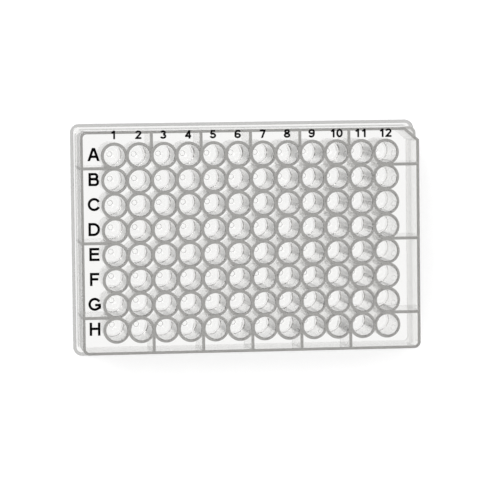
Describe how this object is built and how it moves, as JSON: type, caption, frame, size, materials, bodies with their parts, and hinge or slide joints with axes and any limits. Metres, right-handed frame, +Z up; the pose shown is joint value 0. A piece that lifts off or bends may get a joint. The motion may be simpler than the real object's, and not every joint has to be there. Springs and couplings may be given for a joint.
{
  "type": "well plate",
  "caption": "Flat tray of round sample wells moulded in clear plastic, with a skirt, a standing flange, ribs and a cut corner.",
  "frame": {"origin": "centre of the footprint, on the surface that the plate stands on", "axes": "+Z up out of the wells, +X from column 1 to column 12, +Y from row H to row A"},
  "size_m": [0.1278, 0.0854, 0.027],
  "materials": {
    "clear_plastic": "gloss"
  },
  "bodies": {
    "root": {"plate": "clear_plastic"}
  },
  "joints": []
}
